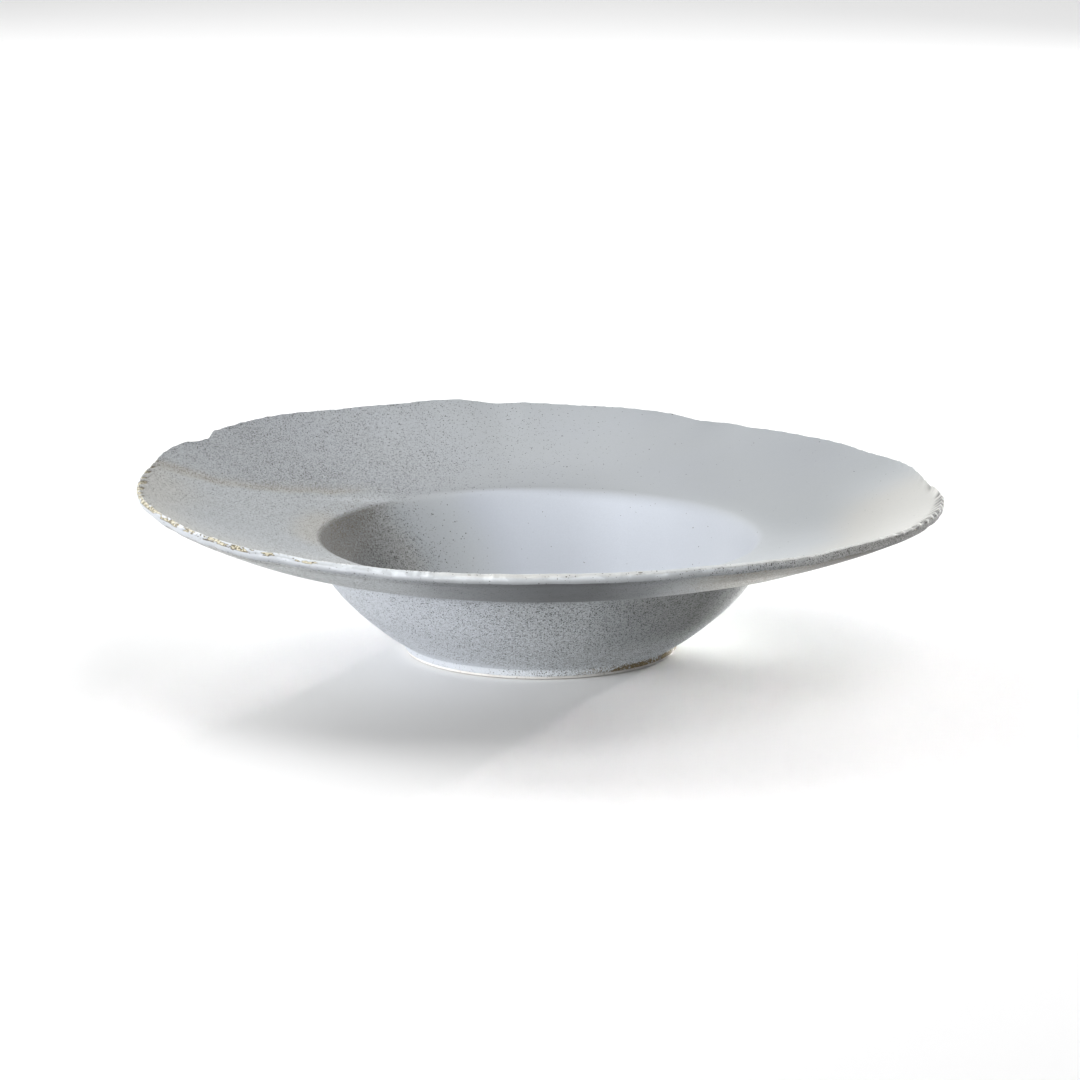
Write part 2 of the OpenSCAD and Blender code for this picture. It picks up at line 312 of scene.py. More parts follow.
# ------------------------------------------------------------------ rings to meshes
class Shell:
    """A closed surface of rings. Each ring has n points, or 1 at the axis, and neighbours have equal, half or double counts."""

    def __init__(self):
        self.rings, self.sides = [], []

    def ring(self, pts, side, **facts):
        self.rings.append((np.asarray(pts, float), side, facts))
        return self

    def build(self, closed):
        starts, verts = [], []
        total = 0
        for pts, _, _ in self.rings:
            starts.append(total)
            verts.append(pts)
            total += len(pts)
        faces, side = [], []
        pairs = [(i, i + 1) for i in range(len(self.rings) - 1)] + ([(len(self.rings) - 1, 0)] if closed else [])
        for i, k in pairs:
            n, m = len(self.rings[i][0]), len(self.rings[k][0])
            a, b = starts[i], starts[k]
            if n == m:
                j = np.arange(n)
                l = (j + 1) % n
                f = [np.stack([a + j, b + j, b + l, a + l], 1)]
            elif n == 1:
                j = np.arange(m)
                f = [np.stack([np.full(m, a), b + j, b + (j + 1) % m], 1)]
            elif m == 1:
                j = np.arange(n)
                f = [np.stack([a + j, np.full(n, b), a + (j + 1) % n], 1)]
            elif n == 2 * m:
                j = np.arange(m)
                l = (j + 1) % m
                f = [np.stack([a + 2 * j, b + j, a + 2 * j + 1], 1), np.stack([a + 2 * j + 1, b + j, b + l], 1), np.stack([a + 2 * j + 1, b + l, a + (2 * j + 2) % n], 1)]
            elif m == 2 * n:
                j = np.arange(n)
                l = (j + 1) % n
                f = [np.stack([a + j, b + 2 * j, b + 2 * j + 1], 1), np.stack([a + j, b + 2 * j + 1, a + l], 1), np.stack([a + l, b + 2 * j + 1, b + (2 * j + 2) % m], 1)]
            else:
                raise ValueError("rings of %d and %d points don't join" % (n, m))
            for x in f:
                faces.append(x)
                side.append(np.full(len(x), max(self.rings[i][1], self.rings[k][1])))
        self.verts = np.vstack(verts)
        self.starts = starts
        self.faces, self.face_side = faces, np.concatenate(side)
        self.vert_side = np.concatenate([np.full(len(p), s) for p, s, _ in self.rings])
        return self

    def fact(self, name, default=0.0):
        return np.concatenate([np.broadcast_to(f.get(name, default), len(p)).astype(float) for p, _, f in self.rings])

    def normals(self):
        out = np.zeros_like(self.verts)
        for f in self.faces:
            p = self.verts[f]
            n = np.cross(p[:, 1] - p[:, 0], p[:, 2] - p[:, 0])
            if f.shape[1] == 4:
                n = n + np.cross(p[:, 2] - p[:, 0], p[:, 3] - p[:, 0])
            for c in range(f.shape[1]):
                np.add.at(out, f[:, c], n)
        return out


def share_seams(*shells):
    """Normals of neighbouring shells, averaged where their points coincide, so that light runs on across the seam."""
    ns = [s.normals() for s in shells]
    where = {}
    for k, s in enumerate(shells):
        outer = np.flatnonzero(s.vert_side == 0)
        for i, key in zip(outer, map(tuple, np.round(s.verts[outer], 5))):
            where.setdefault(key, []).append((k, i))
    for hits in where.values():
        if len({k for k, _ in hits}) > 1:
            total = sum(ns[k][i] for k, i in hits)
            for k, i in hits:
                ns[k][i] = total
    return [n / np.maximum(np.linalg.norm(n, axis=1), 1e-12)[:, None] for n in ns]


def flat_map(verts, faces, face_side, reach=148.0):
    """A plan-view map: the seen side fills the square, and hidden sides take small discs in its corners."""
    uv = []
    k = 0
    for f in faces:
        s = face_side[k:k + len(f)]
        k += len(f)
        p = verts[f][:, :, :2] / (2 * reach)
        small = np.array([0.07, 0.07])
        q = np.where((s == 0)[:, None, None], 0.5 + p * 0.995, small + p * 0.12)
        uv.append(q.reshape(-1, 2))
    return np.vstack(uv)


def strip_map(shell, rows=8):
    """A map for the lip: its length is folded into rows, one above another."""
    uv = []
    k = 0
    height = shell.fact("run")
    az = (np.degrees(np.arctan2(shell.verts[:, 1], shell.verts[:, 0])) % 360) / 360
    for f in shell.faces:
        s = shell.face_side[k:k + len(f)]
        k += len(f)
        a = az[f]
        a = np.where(a - a[:, :1] < -0.5, a + 1, np.where(a - a[:, :1] > 0.5, a - 1, a))
        mid = np.clip(np.floor(a.mean(1) % 1 * rows), 0, rows - 1)
        lift = np.where(a.mean(1) >= 1, 1.0, 0.0)
        u = (a - lift[:, None]) * rows - mid[:, None]
        u = 0.01 + 0.98 * np.clip(u, 0, 1)
        v = (mid[:, None] + 0.04 + 0.92 * height[f]) / rows
        uv.append(np.stack([u, v], 2).reshape(-1, 2))
    return np.vstack(uv)


def make(name, shell, normals, uv, values, material):
    me = bpy.data.meshes.new(name)
    faces = [x for f in shell.faces for x in f.tolist()]
    me.from_pydata((shell.verts * 0.001).tolist(), [], faces)
    me.polygons.foreach_set("use_smooth", np.ones(len(me.polygons), bool))
    layer = me.uv_layers.new(name="OFBake", do_init=False)
    layer.uv.foreach_set("vector", uv.astype(np.float32).ravel())
    for key, v in values.items():
        a = me.attributes.new(key, "FLOAT", "POINT")
        a.data.foreach_set("value", np.asarray(v, np.float32))
    me.materials.append(material)
    me.update()
    if normals is not None:
        me.normals_split_custom_set_from_vertices(normals.tolist())
    ob = bpy.data.objects.new(name, me)
    bpy.context.collection.objects.link(ob)
    return ob


# ------------------------------------------------------------------ materials
class Nodes:
    def __init__(self, name):
        self.mat = bpy.data.materials.new(name)
        self.mat.use_nodes = True
        self.tree = self.mat.node_tree
        self.tree.nodes.clear()
        self.out = self.tree.nodes.new("ShaderNodeOutputMaterial")
        self.bsdf = self.tree.nodes.new("ShaderNodeBsdfPrincipled")
        self.tree.links.new(self.bsdf.outputs[0], self.out.inputs[0])
        coord = self.tree.nodes.new("ShaderNodeTexCoord")
        mm = self.tree.nodes.new("ShaderNodeVectorMath")
        mm.operation = "SCALE"
        mm.inputs["Scale"].default_value = 1000.0
        self.tree.links.new(coord.outputs["Object"], mm.inputs[0])
        self.mm = mm.outputs[0]

    def put(self, socket, value):
        if isinstance(value, bpy.types.NodeSocket):
            self.tree.links.new(value, socket)
        else:
            socket.default_value = value

    def attr(self, name):
        n = self.tree.nodes.new("ShaderNodeAttribute")
        n.attribute_type = "GEOMETRY"
        n.attribute_name = name
        return n.outputs["Fac"]

    def noise(self, scale, detail=2.0, rough=0.5, distort=0.0):
        n = self.tree.nodes.new("ShaderNodeTexNoise")
        n.noise_dimensions = "3D"
        self.tree.links.new(self.mm, n.inputs["Vector"])
        n.inputs["Scale"].default_value = scale
        n.inputs["Detail"].default_value = detail
        n.inputs["Roughness"].default_value = rough
        n.inputs["Distortion"].default_value = distort
        return n.outputs[0]

    def cells(self, scale):
        """Distance to the nearest cell's middle, and two random numbers of that cell."""
        n = self.tree.nodes.new("ShaderNodeTexVoronoi")
        n.voronoi_dimensions = "3D"
        n.feature = "F1"
        self.tree.links.new(self.mm, n.inputs["Vector"])
        n.inputs["Scale"].default_value = scale
        c = self.tree.nodes.new("ShaderNodeSeparateColor")
        self.tree.links.new(n.outputs["Color"], c.inputs[0])
        return n.outputs["Distance"], c.outputs[0], c.outputs[1]

    def math(self, op, a, b=0.0, c=0.0, clamp=False):
        n = self.tree.nodes.new("ShaderNodeMath")
        n.operation = op
        n.use_clamp = clamp
        for i, v in enumerate((a, b, c)):
            self.put(n.inputs[i], v)
        return n.outputs[0]

    def ramp(self, v, lo, hi, to_lo=0.0, to_hi=1.0, smooth=True):
        n = self.tree.nodes.new("ShaderNodeMapRange")
        n.interpolation_type = "SMOOTHSTEP" if smooth else "LINEAR"
        for i, x in enumerate((v, lo, hi, to_lo, to_hi)):
            self.put(n.inputs[i], x)
        return n.outputs[0]

    def mix(self, f, a, b):
        n = self.tree.nodes.new("ShaderNodeMix")
        n.data_type = "RGBA"
        n.clamp_factor = True
        self.put(n.inputs[0], f)
        self.put(n.inputs[6], a if isinstance(a, bpy.types.NodeSocket) else (*a, 1.0))
        self.put(n.inputs[7], b if isinstance(b, bpy.types.NodeSocket) else (*b, 1.0))
        return n.outputs[2]

    def bump(self, height, distance, strength=1.0, normal=None):
        n = self.tree.nodes.new("ShaderNodeBump")
        n.inputs["Strength"].default_value = strength
        n.inputs["Distance"].default_value = distance
        self.tree.links.new(height, n.inputs["Height"])
        if normal is not None:
            self.tree.links.new(normal, n.inputs["Normal"])
        return n.outputs[0]


def glaze(name, plain, cool, warm, pepper, rough, stray=0.002, mottle=0.9, fine=1.0, sand=2.0, bare=(0.60, 0.57, 0.44), brown=(0.086, 0.062, 0.026), shine=0.30):
    """Satin stoneware glaze. Painted on the mesh: speck, the density of the speckle; iron, where it breaks to brown;
    tone, cool where it pools and warm where it is thin; lift, how light the coat is, with painted light and shade in
    it. stray is the share of specks that stand alone on clean places, mottle how broken the brown is, fine the fineness
    of the specks, sand the strength of the grain, bare the colour of the thin places, brown the colour of the iron in
    them, shine the strength of the gloss."""
    m = Nodes(name)
    speck, iron, tone, lift = m.attr("speck"), m.attr("iron"), m.attr("tone"), m.attr("lift")
    cloud = m.noise(0.035, 3.0, 0.55)
    blotch = m.noise(0.22, 4.0, 0.6, 0.4)
    grain = m.noise(1.5, 3.0, 0.7)
    # pooled glaze is cooler, thin glaze is warmer
    pool = m.math("ADD", tone, m.math("MULTIPLY", m.math("SUBTRACT", cloud, 0.5), 0.5))
    base = m.mix(m.ramp(pool, 0.0, 0.9), plain, cool)
    base = m.mix(m.ramp(pool, 0.0, -0.9), base, warm)
    # fine cloudy grain, stronger where the speckle is dense
    shade = m.math("MULTIPLY", m.math("SUBTRACT", grain, 0.5), m.math("MULTIPLY_ADD", speck, 0.8, 0.06))
    gain = m.math("MULTIPLY", lift, m.math("SUBTRACT", 1.0, m.math("MULTIPLY", shade, sand)))
    scaled = m.tree.nodes.new("ShaderNodeVectorMath")
    scaled.operation = "SCALE"
    m.put(scaled.inputs[0], base)
    m.put(scaled.inputs["Scale"], gain)
    base = scaled.outputs[0]
    # pepper: two sizes of iron specks
    dens = m.math("MULTIPLY", speck, m.ramp(blotch, 0.25, 0.75, 0.70, 1.20, False))
    d1, p1, q1 = m.cells(1.65 * fine)
    d2, p2, q2 = m.cells(2.70 * fine)
    on1 = m.math("LESS_THAN", p1, m.math("MULTIPLY_ADD", dens, 0.60, stray))
    on2 = m.math("LESS_THAN", p2, m.math("MULTIPLY_ADD", dens, 0.75, stray))
    size1 = m.math("MULTIPLY_ADD", q1, 0.22, 0.26)
    size2 = m.math("MULTIPLY_ADD", q2, 0.20, 0.30)
    dot1 = m.math("MULTIPLY", on1, m.ramp(m.math("SUBTRACT", d1, size1), 0.08, -0.08))
    dot2 = m.math("MULTIPLY", on2, m.ramp(m.math("SUBTRACT", d2, size2), 0.10, -0.10))
    dots = m.math("MAXIMUM", m.math("MULTIPLY", dot1, 0.88), m.math("MULTIPLY", dot2, 0.76))
    # specks turn darker where the lift is low, in the painted shade and the darker coat
    deep = m.mix(m.ramp(lift, 0.88, 0.62), pepper, (0.015, 0.015, 0.012))
    base = m.mix(dots, base, m.mix(m.ramp(iron, 0.01, 0.07), deep, brown))
    # thin places: pale clay shows through, with dark iron flecks in it and a dark broken margin
    rust = m.math("MULTIPLY", iron, m.ramp(blotch, 0.30, 0.70, 0.70, 1.25, False))
    rust = m.math("ADD", rust, m.math("MULTIPLY", m.math("SUBTRACT", grain, 0.5), m.math("MULTIPLY", iron, mottle)))
    fleck = m.noise(0.9, 3.0, 0.65)
    thin = m.ramp(rust, 0.18, 0.34)
    base = m.mix(m.math("MULTIPLY", thin, 0.80), base, bare)
    margin = m.math("MULTIPLY", m.ramp(rust, 0.08, 0.20), m.ramp(rust, 0.46, 0.28))
    margin = m.math("MAXIMUM", margin, m.math("MULTIPLY", thin, m.ramp(fleck, 0.49, 0.55)))
    base = m.mix(m.math("MULTIPLY", margin, 0.86), base, brown)
    m.put(m.bsdf.inputs["Base Color"], base)
    r = m.math("ADD", m.math("MULTIPLY_ADD", m.math("SUBTRACT", blotch, 0.5), 0.10, rough), m.math("MULTIPLY", m.ramp(rust, 0.2, 0.8), 0.20))
    r = m.math("ADD", r, m.math("MULTIPLY", dots, 0.12), clamp=True)
    m.put(m.bsdf.inputs["Roughness"], r)
    m.bsdf.inputs["IOR"].default_value = 1.5
    m.bsdf.inputs["Specular IOR Level"].default_value = shine
    height = m.math("ADD", m.math("MULTIPLY", m.noise(0.55, 2.0, 0.5), 1.0), m.math("MULTIPLY", dots, -0.22))
    m.put(m.bsdf.inputs["Normal"], m.bump(height, 0.00006, 0.55))
    return m.mat


def bare_clay(name, light, dark, speck_colour):
    """Unglazed fired stoneware: sandy, matt, with fine grog and dark iron grains."""
    m = Nodes(name)
    blotch = m.noise(0.16, 4.0, 0.6)
    grit = m.noise(2.2, 3.0, 0.65)
    base = m.mix(m.ramp(blotch, 0.3, 0.72), light, dark)
    base = m.mix(m.math("MULTIPLY", m.ramp(grit, 0.55, 0.8), 0.5), base, dark)
    d, p, q = m.cells(1.3)
    dots = m.math("MULTIPLY", m.math("LESS_THAN", p, 0.10), m.ramp(m.math("SUBTRACT", d, m.math("MULTIPLY_ADD", q, 0.2, 0.14)), 0.08, -0.08))
    base = m.mix(m.math("MULTIPLY", dots, 0.7), base, speck_colour)
    m.put(m.bsdf.inputs["Base Color"], base)
    m.put(m.bsdf.inputs["Roughness"], m.ramp(grit, 0.2, 0.8, 0.72, 0.92, False))
    m.bsdf.inputs["Specular IOR Level"].default_value = 0.3
    m.put(m.bsdf.inputs["Normal"], m.bump(m.math("ADD", grit, m.math("MULTIPLY", blotch, 0.5)), 0.00012, 0.7))
    return m.mat


PEPPER = (0.046, 0.042, 0.032)
PLAIN, COOL, WARM = (0.400, 0.420, 0.435), (0.398, 0.420, 0.456), (0.420, 0.420, 0.404)
MAT_UPPER = glaze("glaze_upper", PLAIN, COOL, WARM, PEPPER, 0.52, 0.0012, 0.9, 1.05, shine=0.12)
MAT_EDGE = glaze("glaze_edge", PLAIN, COOL, WARM, PEPPER, 0.36, 0.001, 2.3, 1.0, 2.0, (0.57, 0.52, 0.36), (0.062, 0.044, 0.016))
MAT_LOWER = glaze("glaze_lower", PLAIN, COOL, WARM, (0.045, 0.046, 0.042), 0.46, 0.004, 2.6, 1.02, 2.2, (0.50, 0.40, 0.22), (0.185, 0.132, 0.056))
MAT_BASE = glaze("glaze_base", PLAIN, COOL, WARM, PEPPER, 0.46, 0.004)
MAT_CLAY = bare_clay("stoneware", (0.46, 0.39, 0.30), (0.33, 0.26, 0.19), (0.08, 0.05, 0.03))
MAT_FOOT = bare_clay("bare_foot", (0.78, 0.77, 0.75), (0.68, 0.66, 0.63), (0.30, 0.25, 0.20))


# ------------------------------------------------------------------ painted values: speckle, iron, pooling, and painted light and shade
def azimuth(v):
    return np.degrees(np.arctan2(v[:, 1], v[:, 0])) % 360


# Painted light round the lip, as azimuth and factor: a painted highlight on the worn upper corner, and painted light
# and shade on the lip's face
CORNER_PAINTED_LIGHT = [[0, 1.15], [30, 1.0], [90, 1.05], [150, 1.05], [180, 1.1], [200, 1.2], [225, 1.4], [270, 1.6], [295, 1.9], [315, 2.2], [335, 2.1], [350, 1.5]]
FACE_PAINTED_LIGHT = [[0, 0.34], [8, 0.40], [30, 0.75], [90, 1.0], [180, 0.95], [200, 0.96], [225, 1.02], [245, 1.32], [265, 1.58], [285, 1.50], [300, 1.20], [315, 0.88], [330, 0.60], [345, 0.40]]
# Lightness of the well from left to right, as x and factor: painted shade on the left wall, lighter pooled glaze with
# painted light towards the right
WELL_GLAZE_AND_PAINTED_LIGHT = [[-82, 0.42], [-74, 0.48], [-66, 0.78], [-58, 1.08], [-50, 1.32], [-36, 1.52], [-15, 1.67], [10, 1.65], [22, 1.71], [30, 1.71], [39, 1.61], [46, 1.52], [53, 1.38], [61, 1.23], [68, 1.12], [75, 0.99]]
# Painted light and shade under the rim, as azimuth and factor: painted shade in front, painted light at the sides
UNDER_PAINTED_LIGHT = [[0, 1.4], [205, 1.5], [217, 1.65], [228, 1.26], [240, 1.22], [249, 1.0], [256, 0.6], [263, 0.4], [270, 0.26], [278, 0.25], [286, 0.56], [291, 1.0], [298, 1.38], [304, 1.95], [307, 2.2], [311, 1.6], [314, 1.1], [318, 0.72], [321, 0.75], [326, 0.88], [333, 1.5], [345, 1.5]]
# Front edge of the darker back left zone, as x and y
BACK_LEFT_ZONE_EDGE = [[-145, 20], [-135, 26], [-106, 36], [-79, 51], [-57, 61], [-26, 75], [0, 86], [40, 104]]


def along(v, knots):
    at, to = np.array(knots, float).T
    return np.interp(v, at, to)


def paint_upper(shell):
    v = shell.verts
    x, y, z = v.T
    r = np.hypot(x, y)
    a = azimuth(v)
    drift = 14 * octaves(x / 38, y / 38, 0.2, 71, 3, 0.55)
    cloud = octaves(x / 17, y / 17, 2.2, 73, 3, 0.55)
    well = 1 - ease(75.5 + 3 * ease(40, -40, x), 81, r)
    rim = 1 - well
    # a darker, more speckled zone covers the back left; its soft edge runs from the left end to the back of the well
    behind = y - along(x, BACK_LEFT_ZONE_EDGE) + 3 * octaves(x / 13, y / 13, 1.2, 75, 3, 0.6)
    back_left_zone = ease(-1.5, 5, behind) * ease(-5, -70, x + drift) * rim
    back_left_zone = back_left_zone * (1 - 0.45 * ease(18, 55, behind) * ease(-125, -70, x + drift))
    # speckle sprayed from the left: dense in the back left zone and on the well's left wall, hardly any on the right
    pool = x - np.minimum(12, 0.7 * np.maximum(0, 38 - z)) + 0.35 * drift
    speck = rim * ease(-5, -85, x + drift) * (0.46 + 0.13 * cloud)
    speck = np.maximum(speck, back_left_zone * (0.66 + 0.2 * cloud + 0.25 * ease(16, 3, behind) * ease(-62, -85, x)))
    speck = np.maximum(speck, well * (1.05 * ease(-44, -74, pool) + 0.05 * ease(-25, -48, pool)))
    speck = np.maximum(speck, ease(40, 110, y) * ease(40, -80, x + drift) * 0.22 * rim)
    tone = well * (0.95 * ease(-45, -15, pool) - 0.5 * ease(-50, -62, pool)) + rim * (0.25 * ease(20, 90, y) + 0.1 * ease(-20, 60, x))
    tone = tone - rim * (1.6 * ease(85, 135, x) * ease(70, -20, y) + 0.75 * ease(-110, -140, x) * ease(45, 15, y) + 0.5 * ease(-20, -80, y))
    tone = tone + 0.15 * back_left_zone - 1.0 * back_left_zone * ease(15, 2, behind) * ease(-50, -75, x)
    # a warm stain beside the well's left edge
    tone = tone - 0.8 * rim * ease(96, 82, r) * ease(28, 8, gap(a, 176))
    # painted light and shade on the rim: lighter at the right end and toward the front, darker at the back right and
    # next to the well at the back
    lift = 1.0 + 0.06 * ease(110, 70, x) * (1 - 0.8 * ease(70, 20, np.abs(x - 10)) * ease(20, 60, y)) + 0.06 * ease(-20, -60, y) + 0.32 * ease(95, 141, x) * ease(70, 0, y) + 0.15 * ease(0, -70, y) + 0.01 * ease(-40, -110, x) + 0.05 * ease(90, 130, y)
    lift = lift - 0.03 * ease(20, 90, y) - 0.10 * ease(20, 70, x) * ease(-30, 20, y) - 0.08 * ease(108, 84, r) * ease(-20, 30, y) * ease(50, 10, x) - 0.05 * ease(20, 80, x) * ease(-20, 30, y) * ease(138, 95, x)
    # the back left zone is darker, with a thin painted highlight just in front of its edge
    lift = lift - (0.07 + 0.08 * ease(-60, -95, x) * (1 - 0.45 * ease(-100, -125, x))) * back_left_zone + 0.16 * np.exp(-((behind + 4) / 2.6) ** 2) * ease(-88, -74, x) * ease(-44, -54, x)
    # the well: painted shade on its left wall and back left, lighter pooled glaze with painted light over the rest
    hollow = along(pool + (x - pool) * ease(-20, 20, x), WELL_GLAZE_AND_PAINTED_LIGHT) * (1 - 0.12 * ease(0, 50, y) * ease(0, -40, x)) * (1 - 0.30 * ease(72, 78, r) * ease(-50, -70, x))
    lift = lift * rim + hollow * well
    # painted highlight on the worn upper corner and on the ridges, painted shade in the scoops between the ridges
    over, scoop, lip = shell.fact("over", -9.0), shell.fact("scoop"), shell.fact("lip")
    right = ease(32, 14, gap(a, 352))
    ridge = round_about(a, COMB_SHARE) * (1 - ease(0.15, 0.6, chip_at(COMB, (a + np.degrees(SLANT * np.clip(RIM_TOP_R - r, 0, 9) / RIM_R)) % 360)))
    lift = lift * (1 + (round_about(a, CORNER_PAINTED_LIGHT) - 1) * ease(-0.30, 0.05, over) * lip) * (1 + (0.22 + 0.20 * right) * ridge * ease(5.5, 1, RIM_R - r)) * (1 - (0.45 + 0.20 * right) * ease(0.15, 0.75, scoop))
    # a painted highlight along the rim's outer edge at the front right
    lift = lift * (1 + 0.16 * ease(1.8, 0.3, RIM_TOP_R - r) * ease(40, 18, gap(a, 318)))
    edge = np.exp(-(np.clip(np.abs(over), 0, 9) / 0.35) ** 2) * (lip > 0)
    iron = round_about(a, PIT_SHARE) ** 2 * edge * (0.20 + 0.45 * octaves(x / 5, y / 5, 0.4, 77, 3, 0.6))
    iron = np.maximum(iron, 0.5 * lip * ease(0.35, 0.6, scoop) * ease(26, 12, gap(a, 178)))
    iron = np.maximum(iron, 0.07 * back_left_zone * ease(20, 4, behind) * ease(-50, -75, x))
    iron = np.maximum(iron, 0.07 * ease(-48, -72, x) * ease(62, 75, r) * ease(92, 82, r))
    keep = shell.vert_side == 0
    return {"speck": np.clip(speck, 0, 1.8) * keep, "iron": np.clip(iron, 0, 1.2) * keep, "tone": tone * keep, "lift": np.minimum(lift, 1.95)}


def paint_edge(shell):
    v = shell.verts
    x, y, z = v.T
    a = azimuth(v)
    across = shell.fact("across")
    iron = np.zeros(len(a))
    for w in np.unique(across):
        pick = across == w
        iron[pick] = pits(a[pick], w)
    over, scoop = shell.fact("over", -9.0), shell.fact("scoop")
    ridge = np.exp(-((over - 0.1) / 0.3) ** 2) * round_about(a, PIT_SHARE) ** 2 * (0.10 + 0.4 * octaves(x / 5, y / 5, z / 2, 78, 3, 0.6))
    iron = np.maximum(np.maximum(iron, ridge), 0.5 * ease(0.35, 0.6, scoop) * ease(26, 12, gap(a, 178)))
    front = ease(58, 25, gap(a, 268))
    arc = np.radians(a) * RIM_R
    speck = 0.03 + 0.10 * ease(0.7, 1.0, across) + 0.75 * ease(35, 105, x) * ease(0.1, 0.3, across)
    tone = 0.25 * octaves(x / 26, y / 26, z / 4, 83, 2) + 0.5 * ease(0, -70, x) - 0.5 * front * ease(0.5, 0.2, across) - 0.9 * ease(50, 130, x)
    # the front is lit from above and rolls into shade; small worn facets catch the light
    facet = octaves(arc / 4.5, across * 1.6, 0.0, 86, 2, 0.5)
    lift = round_about(a, FACE_PAINTED_LIGHT) * (1 - 0.52 * front * ease(0.25, 0.95, across)) * (1 - (0.40 - 0.30 * front) * ease(0.88, 1.0, across))
    lift = lift * (1 + 0.22 * front * ease(0.02, 0.25, facet) * ease(0.75, 0.45, across))
    # painted highlight along the upper corner and on the ridges, painted shade in the scoops between them
    lift = lift + (round_about(a, CORNER_PAINTED_LIGHT) - lift) * ease(0.24, 0.12, across)
    ridge = round_about(a, COMB_SHARE) * (1 - ease(0.15, 0.6, chip_at(COMB, a)))
    lift = lift + (1.7 - lift) * np.clip(ridge, 0, 1) * ease(0.55, 0.15, across)
    lift = lift * (1 - 0.60 * ease(0.15, 0.75, scoop)) * (1 + (0.06 + 0.14 * ease(30, 100, x)) * octaves(x / 2.2, y / 2.2, z / 1.5, 84, 3, 0.6))
    keep = shell.vert_side == 0
    return {"speck": speck * keep, "iron": np.clip(iron, 0, 1.2) * keep, "tone": tone * keep, "lift": np.minimum(lift, 1.95)}


def paint_lower(shell):
    v = shell.verts
    x, y, z = v.T
    r = np.hypot(x, y)
    a = azimuth(v)
    drift = octaves(x / 34, y / 34, z / 34, 91, 3, 0.55)
    bowl = 1 - ease(81.0, 84.5, r)
    front = np.clip(1 - gap(a, 273) / 46, 0, 1) ** 0.6
    calm = np.clip(1 - gap(a, 271) / 30, 0, 1) ** 0.6
    speck = bowl * (0.80 + 0.18 * drift) * (0.55 + 0.45 * ease(-50, 0, x)) + (1 - bowl) * (0.9 + 0.2 * drift) * (1 - 0.97 * calm)
    speck = speck * (1 - 0.85 * ease(6.8, 4.0, z) * ease(20, -25, x))
    tone = 0.8 * bowl * ease(30, -45, x) + 0.2 * drift - (1 - bowl) * (1.6 * ease(30, 80, x) * ease(0, -40, y) + 0.5 * ease(-40, -80, x) - 0.5 * front) - 0.4 * bowl * ease(20, 60, x)
    # under the rim: painted shade in front, painted light at the sides, and a line of painted shade just inside the lip
    under = round_about(a, UNDER_PAINTED_LIGHT) * (1 - (0.40 - 0.30 * front) * ease(139, 142, r)) * (1 - 0.46 * ease(34, 16, gap(a, 318)) * ease(130, 138, r)) * (1 - 0.42 * ease(30, 12, gap(a, 352)) * ease(136, 140, r))
    # the bowl's outside: painted shade on its front right and high at the front, painted light low down, and a painted
    # glow of reflected light along its right edge
    side = 1.32 - 0.23 * ease(0, -50, x) + 0.12 * ease(16, 6, z) - 0.79 * np.clip(1 - gap(a, 317) / 35, 0, 1) ** 0.7 * ease(8, 20, z) + 0.70 * ease(28, 8, gap(a, 348)) * ease(4, 8, z) - 0.16 * ease(18, 30, z) * ease(34, 12, gap(a, 280))
    lift = under * (1 - bowl) + side * bowl
    # painted light on the foot, and a painted highlight in the cove above it at the right
    lift = lift * (1 + ease(7.4, 3.8, z) * (0.04 + 0.12 * ease(-25, 5, x) + 0.08 * ease(5, 20, x) + 0.45 * ease(20, 38, x)) + 1.3 * np.exp(-((z - 5.0) / 1.4) ** 2) * ease(26, 45, x))
    # brown towards the bottom of the foot, broken and granular
    rusty = np.maximum(ease(52, 14, gap(a, 328)), np.maximum(0.6 * np.clip(1 - gap(a, 95) / 60, 0, 1), 0.05))
    low = ease(4.4, 2.2, z + 0.5 * drift) * rusty
    iron = low * np.clip(0.26 + 0.22 * octaves(x / 2.2, y / 2.2, z / 1.2, 95, 3, 0.6), 0.08, 0.5)
    iron = np.maximum(iron, 0.05 * (1 - bowl) * ease(24, 12, gap(a, 307)))
    speck = np.maximum(speck, 1.1 * low)
    keep = shell.vert_side == 0
    return {"speck": np.clip(speck, 0, 1.6) * keep, "iron": np.clip(iron, 0, 1.2) * keep, "tone": tone * keep, "lift": np.minimum(lift, 1.95)}


def paint_base(shell):
    v = shell.verts
    x, y, z = v.T
    r = np.hypot(x, y)
    speck = 0.55 + 0.3 * octaves(x / 24, y / 24, 0.3, 101, 3)
    iron = ease(38.2, 41.4, r) * (0.35 + 0.5 * octaves(x / 8, y / 8, 0.9, 102, 3))
    tone = 0.5 * octaves(x / 30, y / 30, 0.7, 103, 2)
    return {"speck": np.clip(speck, 0, 1), "iron": np.clip(iron, 0, 1), "tone": tone, "lift": np.full(len(x), 1.1)}


# ------------------------------------------------------------------ the pieces
def spaced(start, stop, first, last):
    """Stations from start to stop, with spacing that grows from first to last."""
    d = abs(stop - start)
    n = max(2, int(round(2 * d / (first + last))))
    w = np.linspace(first, last, n)
    s = np.concatenate([[0], np.cumsum(w)])
    return start + (stop - start) * s / s[-1]


N = 1920
top_len, lip_len, low_len = lengths(TOP)[-1], lengths(LIP)[-1], lengths(LOW)[-1]
top_in_len, lip_in_len, low_in_len = lengths(TOP_IN)[-1], lengths(LIP_IN)[-1], lengths(LOW_IN)[-1]

